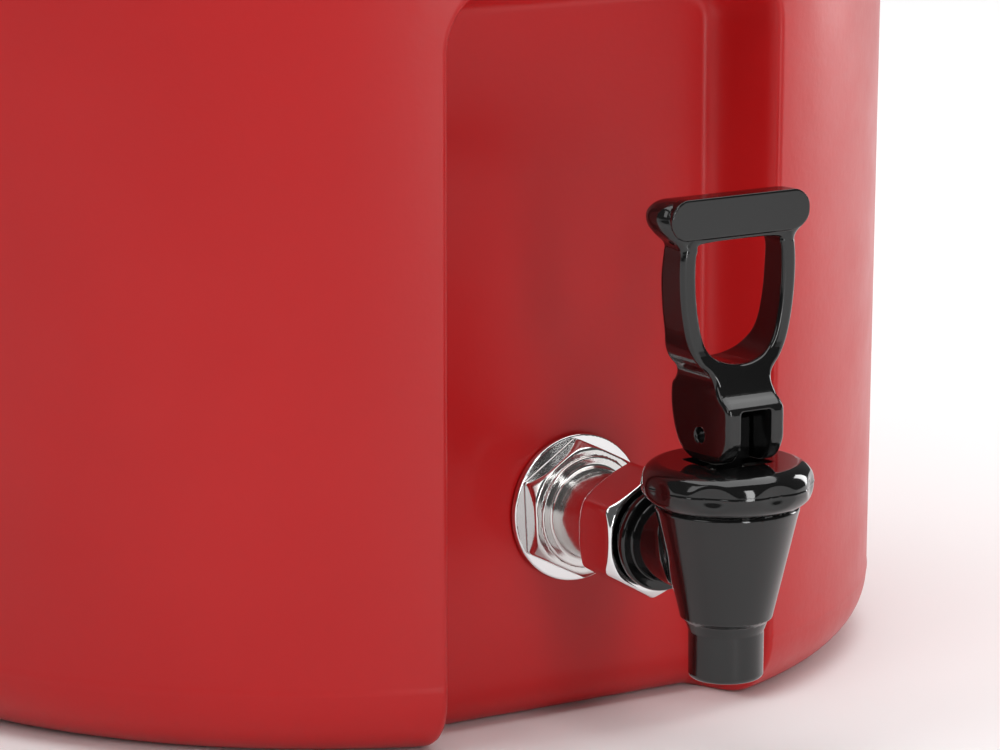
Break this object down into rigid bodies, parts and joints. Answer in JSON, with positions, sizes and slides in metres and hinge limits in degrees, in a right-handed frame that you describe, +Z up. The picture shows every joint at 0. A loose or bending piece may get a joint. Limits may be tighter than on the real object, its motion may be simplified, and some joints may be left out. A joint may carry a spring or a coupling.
{
  "type": "beverage dispenser",
  "caption": "Round insulated drink dispenser with a lift-off lid, side carry handles, swing latches and a self-closing tap set in a front recess.",
  "frame": {"origin": "middle of the drum's flat base", "axes": "+Z up out of the lid, -Y out of the front where the tap stands, +X to the right when facing the front along +Y"},
  "size_m": [0.2998, 0.3359, 0.448],
  "materials": {
    "red_shell": "satin",
    "insulation": "matte",
    "black_nylon": "satin",
    "tap_black": "gloss",
    "bright_nut": "polished",
    "satin_shank": "satin",
    "screw_steel": "satin",
    "pale_silicone": "matte",
    "black_rubber": "matte",
    "spring_steel": "satin"
  },
  "bodies": {
    "drum": {"drum_shell": "red_shell", "drum_liner": "red_shell", "drum_foam": "insulation", "foam_plugs": "red_shell", "latch_bracket_front": "black_nylon", "latch_pin_front": "screw_steel", "latch_screws_front": "screw_steel", "latch_bracket_back": "black_nylon", "latch_pin_back": "screw_steel", "latch_screws_back": "screw_steel", "carry_bracket_left": "black_nylon", "carry_pins_left": "screw_steel", "carry_screws_left": "screw_steel", "carry_bracket_right": "black_nylon", "carry_pins_right": "screw_steel", "carry_screws_right": "screw_steel", "shank": "satin_shank", "flange_washer": "bright_nut", "outer_gasket": "black_rubber", "inner_gasket": "pale_silicone", "inner_nut": "bright_nut", "coupling_nut": "bright_nut", "seat_washer": "black_rubber", "thrust_ring": "tap_black", "tap_body": "tap_black", "bonnet": "tap_black", "bonnet_gasket": "pale_silicone", "valve_spring": "spring_steel"},
    "lid": {"lid_shell": "red_shell", "lid_pan": "red_shell", "lid_foam": "insulation", "lid_gasket": "pale_silicone", "vent_bush": "black_nylon", "vent_nut": "black_nylon", "catch_front": "black_nylon", "catch_screws_front": "screw_steel", "catch_back": "black_nylon", "catch_screws_back": "screw_steel"},
    "vent": {"vent_cap": "black_nylon", "vent_seal": "pale_silicone"},
    "front_latch": {"latch_arm_front": "black_nylon"},
    "back_latch": {"latch_arm_back": "black_nylon"},
    "left_handle": {"carry_handle_left": "black_nylon"},
    "right_handle": {"carry_handle_right": "black_nylon"},
    "valve": {"valve_stem": "tap_black", "seat_cup": "pale_silicone"},
    "lever": {"tap_lever": "tap_black", "lever_pin": "screw_steel"}
  },
  "joints": [
    {"name": "lid_lift", "type": "slide", "parent": "drum", "child": "lid", "axis": [0, 0, 1], "range_m": [0, 0.12]},
    {"name": "vent_turn", "type": "hinge", "parent": "lid", "child": "vent", "pos_m": [0, 0, 0.44], "axis": [0, 0, 1], "range_deg": [0, 180]},
    {"name": "front_latch_swing", "type": "hinge", "parent": "drum", "child": "front_latch", "pos_m": [0, -0.14552, 0.37], "axis": [-1, 0, 0], "range_deg": [0, 180]},
    {"name": "back_latch_swing", "type": "hinge", "parent": "drum", "child": "back_latch", "pos_m": [0, 0.14552, 0.37], "axis": [1, 0, 0], "range_deg": [0, 180]},
    {"name": "left_handle_swing", "type": "hinge", "parent": "drum", "child": "left_handle", "pos_m": [-0.14192, 0, 0.318], "axis": [0, 1, 0], "range_deg": [0, 100]},
    {"name": "right_handle_swing", "type": "hinge", "parent": "drum", "child": "right_handle", "pos_m": [0.14192, 0, 0.318], "axis": [0, -1, 0], "range_deg": [0, 100]},
    {"name": "valve_lift", "type": "slide", "parent": "drum", "child": "valve", "axis": [0, 0, 1], "range_m": [0, 0.0028], "deforming": ["valve_spring"]},
    {"name": "lever_tilt", "type": "hinge", "parent": "valve", "child": "lever", "pos_m": [0, -0.1649, 0.0766], "axis": [1, 0, 0], "range_deg": [0, 55], "stiffness_Nm_per_rad": 0.5, "springref_deg": -17.19}
  ],
  "couplings": [
    {"joint": "valve_lift", "follows": "lever_tilt", "m_per_rad": 0.0027}
  ]
}
